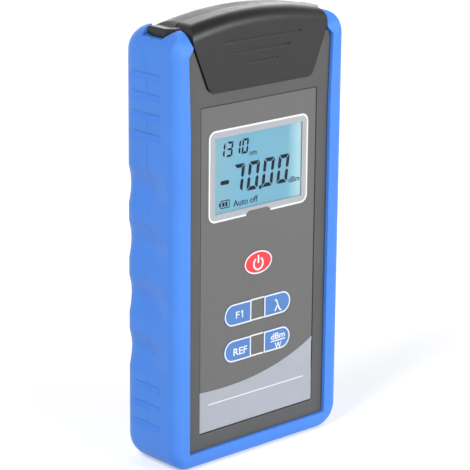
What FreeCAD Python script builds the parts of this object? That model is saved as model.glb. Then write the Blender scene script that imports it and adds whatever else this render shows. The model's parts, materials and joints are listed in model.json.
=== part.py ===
"""Hand-held optical power meter in a rubber boot, with a flip-up port cover.

Units are millimetres.  +X is to the right of the front face, +Y goes from the front to the
back, +Z is up.  The origin is under the middle of the meter, on the flat foot of the boot.
Depths written as `depth` are measured from the plane of the front panel, inwards.
"""
import FreeCAD, Part
import math
import os

V = FreeCAD.Vector

# ---------------------------------------------------------------- driving dimensions
# rubber boot
WIDTH = 94.0               # over the boot
DEPTH = 34.9               # front lip to back
EAR_TOP = 184.0            # top of the two boot ears
BOOT_CORNER_R = 10.5       # corners seen from the front
BOOT_FRONT_R = 4.5         # edge all round the front
BOOT_BACK_R = 10.0         # edge all round the back
BOOT_WALL = 5.0            # rubber at the sides
BOOT_FLOOR = 5.0           # rubber under the case
LIP_SIDE = 8.4             # front lip, at the sides
LIP_FLARE = 1.0            # the lip is this much narrower just below the lobes
FLARE_START = 40.0         # and gets narrower from this far below the ears' top
LIP_BOTTOM = 7.3           # front lip, at the bottom
LIP_PROUD = 1.5            # front lip, in front of the front panel
BACK_LIP_PROUD = 1.0       # back lip, behind the back panel
EAR_ROUND_R = 10.0         # ear, rounded towards the front
LOBE_START = 9.8           # underside of the lobes, below the ears' top
LOBE_BELOW = 1.6           # tips of the lobes, below the cover's full width
LOBE_TIP_R = 1.5
BACK_LIP = 14.0            # back lip, at the sides
BACK_LIP_BOTTOM = 13.0
BACK_BAND_BELOW = 13.0     # top of the rubber band across the back, below the ears' top
BACK_BAND_H = 21.0
BACK_OPEN_R = 5.0
FIT_GAP = 0.15             # boot to case

# finger dents and grip grooves in the boot's sides
DENTS = 4
DENT_PITCH = 23.3
DENT_FIRST_Z = 48.2        # middle of the lowest dent
DENT_DEEP = 3.2
DENT_CLEAR = 0.35          # the wavy skin lies this far off the rubber between the dents
DENT_TURN = 80.0           # degrees that the dents run round the back corner
GROOVE_R = 1.75
GROOVE_DEEP = 0.7
GROOVE_BEND_R = 15.0       # wider than the back corner, so that each groove runs out there
GROOVE_START = 6.5         # depth of the front end of each groove
TOP_GROOVES = 4
TOP_GROOVE_BELOW = 18.6    # uppermost groove, below the ears' top
TOP_GROOVE_PITCH = 8.1
LOW_GROOVES = 3
LOW_GROOVE_Z = 18.1        # lowest groove
LOW_GROOVE_PITCH = 8.45

# hard case
PANEL_STEP = 1.0           # front and back panels stand proud of the case under the lips
CASE_CORNER_R = 6.0
CASE_FRONT_R = 2.0
CASE_BACK_R = 6.5
EAR_T = 8.0                # rubber over the case's shoulders
SHOULDER_W = 5.0           # each shoulder, beside the crown
WALL = 2.2                 # side walls
FRONT_WALL = 2.4
SEAM_DEPTH = 11.5          # parting plane of the front and rear shells
CROWN_RISE = 5.2           # top of the arched crown over the ears, on the middle line
ARCH_R = 170.0             # radius of the arch, seen from the front
CROWN_BACK_R = 16.0        # crown, rounded towards the back
SHOULDER_R = 5.0           # crown and cover, rounded towards the sides

# graphic panel, window and display
OVERLAY_SIDE = 6.6         # plain bezel beside the graphic panel
OVERLAY_LOW = 7.1          # plain bezel below it
OVERLAY_HIGH = 6.1         # plain bezel above it, up to the flap
OVERLAY_T = 0.4
OVERLAY_SUNK = 0.2
OVERLAY_GAP = 0.15
OVERLAY_R = 0.6
WINDOW_SIDE = 7.8          # graphic panel beside the window
WINDOW_HIGH = 13.7         # graphic panel above the window
WINDOW_H = 31.6
WINDOW_R = 0.8
WINDOW_GAP = 0.05
GLASS_EDGE = 2.3           # display glass, beyond the window
GLASS_GAP = 0.2            # display glass to the window film, and to the front wall round it
GLASS_T = 1.8
BACKLIGHT_T = 3.0
HOLDER_WALL = 1.5

# keys
KEY_PROUD = 0.25
KEY_TRAVEL = 0.4
KEY_GAP = 0.1              # key to graphic panel
KEY_WALL_GAP = 0.25        # key to front wall
POWER_HALF_W = 7.75
POWER_HALF_H = 5.0
POWER_BELOW = 24.5         # middle of the power key, below the window
PILL_HALF_W = 18.6
PILL_HALF_H = 4.75
PILL_SPLIT = 3.65          # half the plain bar between the two keys of a row
ROWS_BELOW = 20.3          # upper row of keys, below the power key
ROW_PITCH = 15.7
FLANGE_OUT = 0.9
FLANGE_T = 1.0
STOP_GAP = 0.15
STEM_R = 2.2
PLUNGER_R = 1.7
PLUNGER_GAP = 0.2
PLUNGER_LONG = 2.4
SWITCH_SIDE = 6.0
SWITCH_H = 3.5
SWITCH_HOLE_DEEP = 2.5
PLUNGER_SPARE = 0.5        # plunger to the bottom of its hole when the key is down

# circuit board
PCB_SIDE = 12.0            # board to the case's outside
PCB_LOW = 8.0              # board above the case's underside
PCB_UNDER_PORT = 2.0       # board below the detector
PCB_T = 1.6
PCB_POST_EDGE = 3.0        # from the board's edges, and below the display holder
POST_R = 2.4
PCB_SCREW_R = 1.0
PCB_SCREW_HEAD_R = 1.9
PCB_SCREW_HEAD_T = 1.2
PCB_SCREW_BITE = 4.0       # thread in the post
SCREW_TIP_GAP = 1.0        # hole beyond each screw's tip
CHIP_SIDE = 12.0
CHIP_PITCH = 24.0
CHIP_BELOW = 28.5          # below the board's top
CHIP_T = 1.4

# flip-up port cover
FLAP_DROP = 25.3           # lower edge of the front flap, below the ears' top
FLAP_TAPER = 8.6           # the flap's lower edge is this much narrower, each side
FLAP_FULL = 20.3           # the flap reaches its full width this far above its lower edge
COVER_CORNER_R = 3.0
COVER_T = 1.8
COVER_PROUD = 0.8
COVER_EDGE_R = 6.0         # rounded edge between the front and the top
COVER_SIDE_GAP = 0.3       # cover to crown side line, each side
COVER_SLOT_GAP = 0.5       # flap to the front panel around it
SEAM_GAP = 0.2
CHEEK_T = 2.0
WELL_LEDGE = 1.6           # ledge behind the flap's edge
LEDGE_GAP = 0.3
GRIP_LINES = 3
GRIP_LINE_LOW = 9.6        # lowest line above the flap's lower edge
GRIP_LINE_PITCH = 4.75
GRIP_LINE_HALF = 8.9       # half the lowest line
GRIP_LINE_GROW = 6.15      # each next line is this much longer, each side
GRIP_LINE_H = 1.5
GRIP_LINE_DEEP = 0.8       # at its upper edge; it runs out towards its lower edge

# cover hinge
HINGE_DEPTH = 19.5
HINGE_BELOW = 1.5          # hinge pin, below the ears' top
HINGE_BARREL_R = 1.8
HINGE_PIN_R = 0.9
HINGE_RUN_GAP = 0.05
PIN_COVER = 1.0            # arm outside the blind end of its pin bore
PIN_BITE = 3.5             # pin in the rear shell
ARM_GAP = 1.2              # arm to crown
ARM_T = 3.6
ARM_FRONT = 6.6            # depth of the arm's front end, at its top; it slopes back below
ARM_BEVEL = 3.8            # the outer front corner of the arm is cut off over this length
NOTCH_GAP = 0.4

# optical port
PORT_DEPTH = 6.0
WELL_FLOOR_T = 3.8
FLANGE_R = 4.8
PORT_FLANGE_T = 2.0
BARREL_R = 4.0
BARREL_BORE_R = 3.1
BARREL_LONG = 9.5
KEYWAY_W = 2.1
SLEEVE_R = 2.0
FERRULE_R = 1.25
SLEEVE_LONG = 11.0
HOUSING_R = 3.3
HOUSING_LONG = 8.0
DIODE_R = 2.35
DIODE_FLANGE_R = 2.7
DIODE_FLANGE_T = 0.6
DIODE_LONG = 4.0
LEAD_R = 0.22
LEAD_LONG = 5.0

# battery bay in the back
CELLS = 3
CELL_R = 7.1
CELL_PITCH = 15.0
CELL_BODY = 49.0
CELL_NUB_R = 2.75
CELL_NUB = 1.3
SPRING_ROOM = 4.2
PLATE_T = 0.5
PLATE_HALF_W = 4.0
PLATE_HALF_D = 5.0
LEAF_W = 6.0
LEAF_HIGH = 3.0            # tip of each leaf, over the middle of its cell
BAY_Z0 = 22.0
BAY_WALL = 1.6
BAY_FLOOR_T = 1.8
DOOR_T = 2.0
DOOR_MARGIN = 2.4          # door beyond the bay's inside, each way
DOOR_GAP = 0.3
DOOR_PIN_R = 0.9
DOOR_PIN_LONG = 2.4
DOOR_RUN_GAP = 0.08
CELL_GAP = 0.2
THUMB_R = 9.0              # round thumb recess at the door's upper edge
THUMB_DEEP = 2.4
DOOR_RIDGES = 5
RIDGE_PITCH = 2.2
RIDGE_H = 0.9
RIDGE_DEEP = 0.6

# case screws
SCREW_IN = 5.7             # screw to the case's outside
SCREW_UP = 12.0            # lower screws above the case's underside
SCREW_DOWN = 8.5           # upper screws below the front shell's room
SCREW_POST_R = 3.2
SCREW_R = 1.5
SCREW_HEAD_R = 2.7
SCREW_HEAD_T = 2.0
SCREW_CLEAR = 0.2
SCREW_SINK = 12.0          # head below the shell's back
SCREW_BITE = 6.0           # thread in the front shell

# ---------------------------------------------------------------- derived places
BOOT_FRONT_Y = -DEPTH / 2
BOOT_BACK_Y = DEPTH / 2
FACE_Y = BOOT_FRONT_Y + LIP_PROUD            # plane of the front panel
BACK_Y = BOOT_BACK_Y - BACK_LIP_PROUD        # plane of the back panel
CORE_FRONT_Y = FACE_Y + PANEL_STEP
CORE_BACK_Y = BACK_Y - PANEL_STEP
SEAM_Y = FACE_Y + SEAM_DEPTH
CASE_HALF_W = WIDTH / 2 - BOOT_WALL
OPEN_HALF_W = WIDTH / 2 - LIP_SIDE
SHOULDER_Z = EAR_TOP - EAR_T                 # top of the case under the ears
CROWN_TOP = EAR_TOP + CROWN_RISE
CROWN_HALF_W = CASE_HALF_W - SHOULDER_W
ARCH_Z = CROWN_TOP - ARCH_R                  # height of the arch's axis, which lies along Y
BACK_OPEN_HALF_W = WIDTH / 2 - BACK_LIP
BACK_BAND_TOP = EAR_TOP - BACK_BAND_BELOW
BACK_OPEN_Z1 = BACK_BAND_TOP - BACK_BAND_H
COVER_HALF_W = CROWN_HALF_W - COVER_SIDE_GAP
COVER_FRONT_Y = FACE_Y - COVER_PROUD
COVER_Z0 = EAR_TOP - FLAP_DROP
COVER_FULL_Z = COVER_Z0 + FLAP_FULL
COVER_LOW_HALF_W = COVER_HALF_W - FLAP_TAPER
COVER_LEAN = FLAP_TAPER / FLAP_FULL
FLARE_START_Z = EAR_TOP - FLARE_START
LOBE_START_Z = EAR_TOP - LOBE_START
LOBE_Z = COVER_FULL_Z - LOBE_BELOW           # tips of the ears' lobes
SLOT_HALF_W = COVER_HALF_W + COVER_SLOT_GAP  # between the ears
LOBE_X = SLOT_HALF_W - COVER_LEAN * LOBE_BELOW
WELL_FLOOR_Z = COVER_Z0 + WELL_LEDGE
ROOM_TOP = WELL_FLOOR_Z - WELL_FLOOR_T       # top of the room inside the two shells
PORT_Y = FACE_Y + PORT_DEPTH
HINGE_Y = FACE_Y + HINGE_DEPTH
HINGE_Z = EAR_TOP - HINGE_BELOW
ARM_X0 = CROWN_HALF_W + ARM_GAP
ARM_X1 = ARM_X0 + ARM_T
OVERLAY_HALF_W = OPEN_HALF_W - OVERLAY_SIDE
OVERLAY_Z0 = LIP_BOTTOM + OVERLAY_LOW
OVERLAY_Z1 = COVER_Z0 - OVERLAY_HIGH
WINDOW_HALF_W = OVERLAY_HALF_W - WINDOW_SIDE
WINDOW_Z1 = OVERLAY_Z1 - WINDOW_HIGH
WINDOW_Z0 = WINDOW_Z1 - WINDOW_H
POWER_Z = WINDOW_Z0 - POWER_BELOW
UPPER_ROW_Z = POWER_Z - ROWS_BELOW
LOWER_ROW_Z = UPPER_ROW_Z - ROW_PITCH
PCB_HALF_W = CASE_HALF_W - PCB_SIDE
PCB_Z0 = BOOT_FLOOR + PCB_LOW
PCB_Z1 = ROOM_TOP - HOUSING_LONG - PCB_UNDER_PORT
SCREW_X = CASE_HALF_W - SCREW_IN
SCREW_Z_LOW = BOOT_FLOOR + SCREW_UP
SCREW_Z_HIGH = ROOM_TOP - SCREW_DOWN
OVERLAY_Y = FACE_Y + OVERLAY_SUNK
BAY_HALF_W = CELLS * CELL_PITCH / 2
BAY_Z1 = BAY_Z0 + CELL_BODY + CELL_NUB + SPRING_ROOM + 2 * PLATE_T
DOOR_INNER_Y = BACK_Y - DOOR_T
CELL_Y = DOOR_INNER_Y - CELL_GAP - CELL_R
BAY_FLOOR_Y = CELL_Y - CELL_R - CELL_GAP
GLASS_Y = OVERLAY_Y + OVERLAY_T + GLASS_GAP  # the glass stands in the front wall, behind the film
DISPLAY_BACK_Y = GLASS_Y + GLASS_T + BACKLIGHT_T
HOLDER_Y = FACE_Y + FRONT_WALL + GLASS_GAP
FLANGE_Y = FACE_Y + FRONT_WALL + STOP_GAP
KEY_STACK = SWITCH_H - SWITCH_HOLE_DEEP + PLUNGER_LONG + KEY_TRAVEL + PLUNGER_SPARE
KEY_BACK_Y = FLANGE_Y + FLANGE_T + KEY_STACK # the board lies midway from here to the battery bay
PCB_Y = (KEY_BACK_Y + BAY_FLOOR_Y - BAY_FLOOR_T - PCB_T) / 2
STEM_END_Y = PCB_Y - KEY_STACK
DOOR_HALF_W = BAY_HALF_W + DOOR_MARGIN
DOOR_Z0 = BAY_Z0 - DOOR_MARGIN
DOOR_Z1 = BAY_Z1 + DOOR_MARGIN
DOOR_AXIS_Y = BACK_Y - DOOR_T / 2
DOOR_AXIS_Z = DOOR_Z0 + DOOR_T / 2
PAST = 20.0                                  # how far a cutter runs past what it cuts


# ---------------------------------------------------------------- small helpers
def block(x0, x1, y0, y1, z0, z1):
    """A box between two corners."""
    return Part.makeBox(x1 - x0, y1 - y0, z1 - z0, V(x0, y0, z0))


def rod(radius, x, y, z0, z1):
    """An upright cylinder."""
    return Part.makeCylinder(radius, z1 - z0, V(x, y, z0), V(0, 0, 1))


def rod_y(radius, x, z, y0, y1):
    """A cylinder that runs from front to back."""
    return Part.makeCylinder(radius, y1 - y0, V(x, y0, z), V(0, 1, 0))


def rod_x(radius, y, z, x0, x1):
    """A cylinder that runs from left to right."""
    return Part.makeCylinder(radius, x1 - x0, V(x0, y, z), V(1, 0, 0))


def rounded_wire(points, radii, place):
    """A closed outline with rounded corners; place turns (a, b) into a point in space."""
    count = len(points)
    edges = []
    ends = []
    for i in range(count):
        here = V(points[i][0], points[i][1], 0)
        before = V(points[i - 1][0], points[i - 1][1], 0)
        after = V(points[(i + 1) % count][0], points[(i + 1) % count][1], 0)
        if radii[i] <= 0:
            ends.append((here, here, None))
            continue
        inward = (before - here).normalize()
        outward = (after - here).normalize()
        half = inward.getAngle(outward) / 2
        run = radii[i] / math.tan(half)
        bisector = (inward + outward).normalize()
        middle = here + bisector * (radii[i] / math.sin(half) - radii[i])
        ends.append((here + inward * run, here + outward * run, middle))
    for i in range(count):
        start, stop, middle = ends[i]
        following = ends[(i + 1) % count][0]
        if middle is not None:
            edges.append(Part.Arc(place(start), place(middle), place(stop)).toShape())
        if (following - stop).Length > 1e-6:
            edges.append(Part.makeLine(place(stop), place(following)))
    return Part.Wire(edges)


def plate(points, radii, y0, y1):
    """An outline given as (x, z), extruded from front to back."""
    wire = rounded_wire(points, radii, lambda p: V(p.x, y0, p.y))
    return Part.Face(wire).extrude(V(0, y1 - y0, 0))


def side_plate(points, radii, x0, x1):
    """An outline given as (y, z), extruded from left to right."""
    wire = rounded_wire(points, radii, lambda p: V(x0, p.x, p.y))
    return Part.Face(wire).extrude(V(x1 - x0, 0, 0))


def slab(half_w, z0, z1, corner, y0, y1):
    """A plate with four equal round corners, centred on x = 0."""
    corners = [(-half_w, z0), (half_w, z0), (half_w, z1), (-half_w, z1)]
    return plate(corners, [corner] * 4, y0, y1)


def mirrored(shape):
    """The same shape on the other side of the middle plane."""
    return shape.mirror(V(0, 0, 0), V(1, 0, 0))


def both_sides(shape):
    return [shape, mirrored(shape)]


def cut_all(shape, cutters):
    return shape.cut(Part.makeCompound(cutters)) if cutters else shape


def join_all(shapes):
    whole = shapes[0]
    for shape in shapes[1:]:
        whole = whole.fuse(shape)
    return whole.removeSplitter()


def edges_at(shape, test):
    """The edges whose every sample point passes the test."""
    found = []
    for edge in shape.Edges:
        first, last = edge.FirstParameter, edge.LastParameter
        samples = [edge.valueAt(first + (last - first) * k / 4) for k in range(5)]
        if all(test(p) for p in samples):
            found.append(edge)
    return found


def arched(profile, half_w):
    """A closed (y, height above the arch's axis) profile, swung along the arch."""
    swing = math.degrees(math.asin(min(0.9, 1.6 * half_w / ARCH_R)))
    face = Part.Face(profile)
    face.rotate(V(0, 0, ARCH_Z), V(0, 1, 0), -swing)
    swung = face.revolve(V(0, 0, ARCH_Z), V(0, 1, 0), 2 * swing)
    return swung.common(block(-half_w, half_w, -PAST * 2, PAST * 2, 0, CROWN_TOP + PAST))


def arch_profile(points, radii):
    """A closed profile in the middle plane, given as (y, distance down from the crown)."""
    heights = [(y, CROWN_TOP - down) for y, down in points]
    return rounded_wire(heights, radii, lambda p: V(0, p.x, p.y))


# ---------------------------------------------------------------- hard case
def case_core(grow=0.0):
    """The main box of the case, without crown and panels."""
    half_w = CASE_HALF_W + grow
    y0 = CORE_FRONT_Y - grow
    y1 = CORE_BACK_Y + grow
    z0 = BOOT_FLOOR - grow
    z1 = SHOULDER_Z + grow
    core = slab(half_w, z0, z1, CASE_CORNER_R + grow, y0, y1)
    front = edges_at(core, lambda p: abs(p.y - y0) < 1e-4)
    core = core.makeFillet(CASE_FRONT_R, front)
    back = edges_at(core, lambda p: abs(p.y - y1) < 1e-4)
    return core.makeFillet(min(CASE_BACK_R, CASE_CORNER_R + grow - 0.3), back)


def shoulders(half_w, grow=0.0):
    """Right shoulder and peak of an outline that lies over the arch, seen from the front."""
    height = math.sqrt(ARCH_R ** 2 - half_w ** 2)
    side = half_w + grow
    corner_z = ARCH_Z + height + grow
    return (side, corner_z), (0.0, corner_z + side * half_w / height)


def symmetric_plate(right, radii, peak, y0, y1):
    """An outline from its right side upwards and its peak, extruded from front to back."""
    left = [(-x, z) for x, z in reversed(right)]
    return plate(right + [peak] + left, radii + [0] + radii[::-1], y0, y1)


def crown_rear(grow=0.0):
    """The arched crown behind the seam, rounded over to the back and to the sides."""
    back_y = CORE_BACK_Y + grow
    deep = CROWN_BACK_R * 2.6
    points = [(SEAM_Y, -grow), (back_y, -grow), (back_y, deep), (SEAM_Y, deep)]
    crown = arched(arch_profile(points, [0, CROWN_BACK_R, 0, 0]), CROWN_HALF_W + grow)
    shoulder, peak = shoulders(CROWN_HALF_W, grow)
    right = [(shoulder[0], 0.0), shoulder]
    return crown.common(symmetric_plate(right, [0, SHOULDER_R + grow], peak, SEAM_Y - 1, back_y + 1))


def opening_side(shrink):
    """Right side of the boot's front opening: it flares a little, then turns in under the lobe."""
    half_w = OPEN_HALF_W - shrink
    return [(half_w, LIP_BOTTOM + shrink), (half_w, FLARE_START_Z),
            (half_w + LIP_FLARE, LOBE_START_Z), (LOBE_X - shrink, LOBE_Z)]


def front_opening():
    """What the boot's front opening cuts: up to the lobes, along the cover, and out at the top."""
    top = CROWN_TOP + PAST
    right = opening_side(0.0) + [(SLOT_HALF_W, COVER_FULL_Z), (SLOT_HALF_W, top)]
    radii = [1.2, 60.0, 1.0, LOBE_TIP_R, 3.0, 0]
    return symmetric_plate(right, radii, (0.0, top), BOOT_FRONT_Y - 1, CORE_FRONT_Y + 1)


def front_panel():
    """The raised bezel that fills the boot's front opening, up to the case's shoulders."""
    right = opening_side(FIT_GAP)
    (wide_x, low), (tip_x, high) = right[2:]
    right[3] = (wide_x + (tip_x - wide_x) * (SHOULDER_Z - low) / (high - low), SHOULDER_Z)
    return symmetric_plate(right, [1.2, 60.0, 1.0, 0], (0.0, SHOULDER_Z), FACE_Y,
                           CORE_FRONT_Y + PANEL_STEP)


def back_panel():
    """The raised panel that fills the boot's back opening."""
    half_w = BACK_OPEN_HALF_W - FIT_GAP
    return slab(half_w, BACK_LIP_BOTTOM + FIT_GAP, BACK_OPEN_Z1 - FIT_GAP, BACK_OPEN_R,
                CORE_BACK_Y - PANEL_STEP, BACK_Y)


def cover_outline(grow=0.0):
    """The cover seen from the front: a trapezoid flap below straight sides."""
    slant = math.hypot(1.0, COVER_LEAN)
    low_w = COVER_LOW_HALF_W + grow * (slant - COVER_LEAN)
    full_z = COVER_FULL_Z + grow * (slant - 1.0) / COVER_LEAN
    shoulder, peak = shoulders(COVER_HALF_W, grow)
    right = [(low_w, COVER_Z0 - grow), (shoulder[0], full_z), shoulder]
    left = [(-x, z) for x, z in reversed(right)]
    corner = max(0.5, COVER_CORNER_R + grow)
    radii = [corner, corner, SHOULDER_R + grow]
    return right + [peak] + left, radii + [0] + radii[::-1]


def well_cutters():
    """The recess under the cover: a shallow seat for the flap and the deep connector well."""
    seat_points, seat_radii = cover_outline(COVER_SLOT_GAP)
    seat_back = COVER_FRONT_Y + COVER_T + LEDGE_GAP
    seat = plate(seat_points, seat_radii, FACE_Y - PAST, seat_back)
    well_points, well_radii = cover_outline(-WELL_LEDGE)
    well = plate(well_points, well_radii, FACE_Y - PAST, SEAM_Y + 1.0)
    return [seat, well]


def key_outlines():
    """Name, centre and outline maker of each key."""
    left_x = -(PILL_HALF_W + PILL_SPLIT) / 2
    keys = [("power", 0.0, POWER_Z, power_key)]
    for name, sign, z in (("f1", 1, UPPER_ROW_Z), ("lambda", -1, UPPER_ROW_Z),
                          ("ref", 1, LOWER_ROW_Z), ("dbm", -1, LOWER_ROW_Z)):
        keys.append((name, sign * left_x, z, pill_key))
    return keys


def power_key(x, z, grow, y0, y1):
    """An upright ellipse on the middle line."""
    ellipse = Part.Ellipse(V(0, 0, 0), POWER_HALF_W + grow, POWER_HALF_H + grow).toShape()
    face = Part.Face(Part.Wire([ellipse]))
    face.rotate(V(0, 0, 0), V(1, 0, 0), 90)
    face.translate(V(x, y0, z))
    return face.extrude(V(0, y1 - y0, 0))


def pill_key(x, z, grow, y0, y1):
    """Half a pill: a round outer end and a square end towards the middle line."""
    outer = PILL_HALF_W + grow
    inner = PILL_SPLIT - grow
    half_h = PILL_HALF_H + grow
    points = [(inner, z - half_h), (outer, z - half_h), (outer, z + half_h), (inner, z + half_h)]
    round_r = half_h * 0.98
    half = plate(points, [0.3, round_r, round_r, 0.3], y0, y1)
    return half if x > 0 else mirrored(half)


def screw_places():
    return [(x, z) for x in (-SCREW_X, SCREW_X) for z in (SCREW_Z_LOW, SCREW_Z_HIGH)]


def pcb_posts():
    side = PCB_HALF_W - PCB_POST_EDGE
    upper = WINDOW_Z0 - GLASS_EDGE - HOLDER_WALL - PCB_POST_EDGE
    return [(x, z) for x in (-side, side) for z in (PCB_Z0 + PCB_POST_EDGE, upper)]


def front_shell():
    shell = join_all([case_core(), front_panel()])
    shell = shell.common(block(-WIDTH, WIDTH, -DEPTH, SEAM_Y, 0, CROWN_TOP))
    inside_w = CASE_HALF_W - WALL
    room = slab(inside_w, BOOT_FLOOR + WALL, ROOM_TOP, CASE_CORNER_R - WALL,
                FACE_Y + FRONT_WALL, SEAM_Y + 1.0)
    shell = shell.cut(room)
    posts = [rod_y(SCREW_POST_R, x, z, FACE_Y + FRONT_WALL - 0.5, SEAM_Y) for x, z in screw_places()]
    posts += [rod_y(POST_R, x, z, FACE_Y + FRONT_WALL - 0.5, PCB_Y) for x, z in pcb_posts()]
    shell = join_all([shell] + posts)
    recess = slab(OVERLAY_HALF_W + OVERLAY_GAP, OVERLAY_Z0 - OVERLAY_GAP, OVERLAY_Z1 + OVERLAY_GAP,
                  OVERLAY_R, FACE_Y - 1.0, OVERLAY_Y + OVERLAY_T)
    window = display_slab(GLASS_EDGE + GLASS_GAP, FACE_Y - 1.0, FACE_Y + FRONT_WALL + 1.0)
    cutters = well_cutters() + [recess, window]
    for name, x, z, outline in key_outlines():
        cutters.append(outline(x, z, KEY_WALL_GAP, FACE_Y - 1.0, FACE_Y + FRONT_WALL + 0.5))
    for x, z in screw_places():
        cutters.append(rod_y(SCREW_R, x, z, SEAM_Y - SCREW_BITE - SCREW_TIP_GAP, SEAM_Y + 1.0))
    for x, z in pcb_posts():
        cutters.append(rod_y(PCB_SCREW_R, x, z, PCB_Y - PCB_SCREW_BITE - SCREW_TIP_GAP, PCB_Y + 1.0))
    cutters.append(rod(DIODE_R + 0.15, 0, PORT_Y, ROOM_TOP - 1.0, WELL_FLOOR_Z + 1.0))
    return cut_all(shell, cutters)


def thumb_recess():
    """A shallow round hollow across the joint of the door's upper edge and the shell."""
    return Part.makeSphere(THUMB_R, V(0, BACK_Y + THUMB_R - THUMB_DEEP, DOOR_Z1 + THUMB_DEEP / 2))


def rear_shell():
    shell = join_all([case_core(), back_panel(), crown_rear()])
    shell = shell.common(block(-WIDTH, WIDTH, SEAM_Y, DEPTH, 0, CROWN_TOP + 1.0))
    inside_w = CASE_HALF_W - WALL
    room = slab(inside_w, BOOT_FLOOR + WALL, ROOM_TOP, CASE_CORNER_R - WALL,
                SEAM_Y - 1.0, CORE_BACK_Y - WALL)
    crown_room = slab(CROWN_HALF_W - 1.8 * WALL, ROOM_TOP - 1.0, HINGE_Z - HINGE_BARREL_R - 1.0, 3.0,
                      SEAM_Y + WALL, CORE_BACK_Y - 2.2 * WALL)
    shell = shell.cut(join_all([room, crown_room]))
    bay_box = block(-BAY_HALF_W - BAY_WALL, BAY_HALF_W + BAY_WALL, BAY_FLOOR_Y - BAY_FLOOR_T,
                    CORE_BACK_Y - WALL / 2, BAY_Z0 - BAY_WALL, BAY_Z1 + BAY_WALL)
    posts = [rod_y(SCREW_POST_R, x, z, SEAM_Y, CORE_BACK_Y - WALL / 2) for x, z in screw_places()]
    shell = join_all([shell, bay_box] + posts)
    bay = block(-BAY_HALF_W, BAY_HALF_W, BAY_FLOOR_Y, BOOT_BACK_Y, BAY_Z0, BAY_Z1)
    doorway = block(-DOOR_HALF_W - DOOR_GAP, DOOR_HALF_W + DOOR_GAP, DOOR_INNER_Y - 0.05,
                    BOOT_BACK_Y, DOOR_Z0 - DOOR_GAP, DOOR_Z1 + DOOR_GAP)
    reach = DOOR_HALF_W + DOOR_PIN_LONG + DOOR_GAP
    pin_bore = rod_x(DOOR_PIN_R + DOOR_RUN_GAP, DOOR_AXIS_Y, DOOR_AXIS_Z, -reach, reach)
    cutters = [bay, doorway, pin_bore, thumb_recess()]
    head_y = CORE_BACK_Y - SCREW_SINK
    for x, z in screw_places():
        cutters.append(rod_y(SCREW_R + SCREW_CLEAR, x, z, SEAM_Y - 1.0, head_y + 0.5))
        cutters.append(rod_y(SCREW_HEAD_R + SCREW_CLEAR, x, z, head_y, BOOT_BACK_Y))
    pin_seat = rod_x(HINGE_PIN_R, HINGE_Y, HINGE_Z, CROWN_HALF_W - PIN_BITE, CROWN_HALF_W + 1.0)
    cutters += both_sides(pin_seat)
    return cut_all(shell, cutters)


# ---------------------------------------------------------------- rubber boot
def dent_cutter():
    """What the finger dents take off the right-hand side: a wavy skin, thickened outwards.

    The skin follows the side and turns round the back corner.  Each wave fades out to both ends.
    """
    low = DENT_FIRST_Z - DENT_PITCH / 2
    front_y = BOOT_FRONT_Y + BOOT_FRONT_R / 2
    bend_x = WIDTH / 2 - BOOT_BACK_R
    bend_y = BOOT_BACK_Y - BOOT_BACK_R
    turn = math.radians(DENT_TURN)
    straight = bend_y - front_y
    length = straight + BOOT_BACK_R * turn
    steps_z = DENTS * 8
    steps_y = DENTS * 4
    grid = []
    for i in range(steps_z + 1):
        rise = DENTS * DENT_PITCH * i / steps_z
        wave = (1 - math.cos(2 * math.pi * rise / DENT_PITCH)) / 2
        row = []
        for j in range(steps_y + 1):
            along = length * j / steps_y
            fade = math.sin(math.pi * j / steps_y) ** 1.3 if 0 < j < steps_y else 0.0
            out = DENT_CLEAR - (DENT_DEEP + DENT_CLEAR) * wave * fade
            angle = max(0.0, along - straight) / BOOT_BACK_R
            y = min(front_y + along, bend_y)
            reach = BOOT_BACK_R + out
            row.append(V(bend_x + reach * math.cos(angle), y + reach * math.sin(angle), low + rise))
        grid.append(row)
    surface = Part.BSplineSurface()
    surface.interpolate(grid)
    outward = V(math.cos(turn / 2), math.sin(turn / 2), 0) * PAST
    return surface.toShape().extrude(outward)


def groove_cutter(z):
    """One grip groove: a round-bottomed channel along the side and round the back corner."""
    centre_x = WIDTH / 2 + GROOVE_R - GROOVE_DEEP
    bend_y = BOOT_BACK_Y - BOOT_BACK_R
    start_y = FACE_Y + GROOVE_START + GROOVE_R
    run = rod_y(GROOVE_R, centre_x, z, start_y, bend_y)
    end = Part.makeSphere(GROOVE_R, V(centre_x, start_y, z))
    circle = Part.Face(Part.Wire([Part.makeCircle(GROOVE_R, V(centre_x, bend_y, z), V(0, 1, 0))]))
    bend = circle.revolve(V(centre_x - GROOVE_BEND_R, bend_y, z), V(0, 0, 1), 60)
    return join_all([end, run, bend])


def groove_heights():
    upper = [EAR_TOP - TOP_GROOVE_BELOW - TOP_GROOVE_PITCH * i for i in range(TOP_GROOVES)]
    lower = [LOW_GROOVE_Z + LOW_GROOVE_PITCH * i for i in range(LOW_GROOVES)]
    return upper + lower


def boot_outside():
    """The rubber body before it is hollowed: a soft box with rounded ears."""
    body = slab(WIDTH / 2, 0, EAR_TOP, BOOT_CORNER_R, BOOT_FRONT_Y, BOOT_BACK_Y)
    front = edges_at(body, lambda p: abs(p.y - BOOT_FRONT_Y) < 1e-4)
    body = body.makeFillet(BOOT_FRONT_R, front)
    back = edges_at(body, lambda p: abs(p.y - BOOT_BACK_Y) < 1e-4)
    body = body.makeFillet(min(BOOT_BACK_R, BOOT_CORNER_R - 0.4), back)
    edge = side_plate([(BOOT_FRONT_Y - 1, EAR_TOP + 1), (BOOT_FRONT_Y - 1, EAR_TOP - EAR_ROUND_R),
                       (BOOT_FRONT_Y, EAR_TOP - EAR_ROUND_R), (BOOT_FRONT_Y, EAR_TOP),
                       (BOOT_FRONT_Y + EAR_ROUND_R, EAR_TOP), (BOOT_FRONT_Y + EAR_ROUND_R, EAR_TOP + 1)],
                      [0, 0, 0, EAR_ROUND_R * 0.999, 0, 0], -WIDTH, WIDTH)
    return body.cut(edge)


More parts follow.
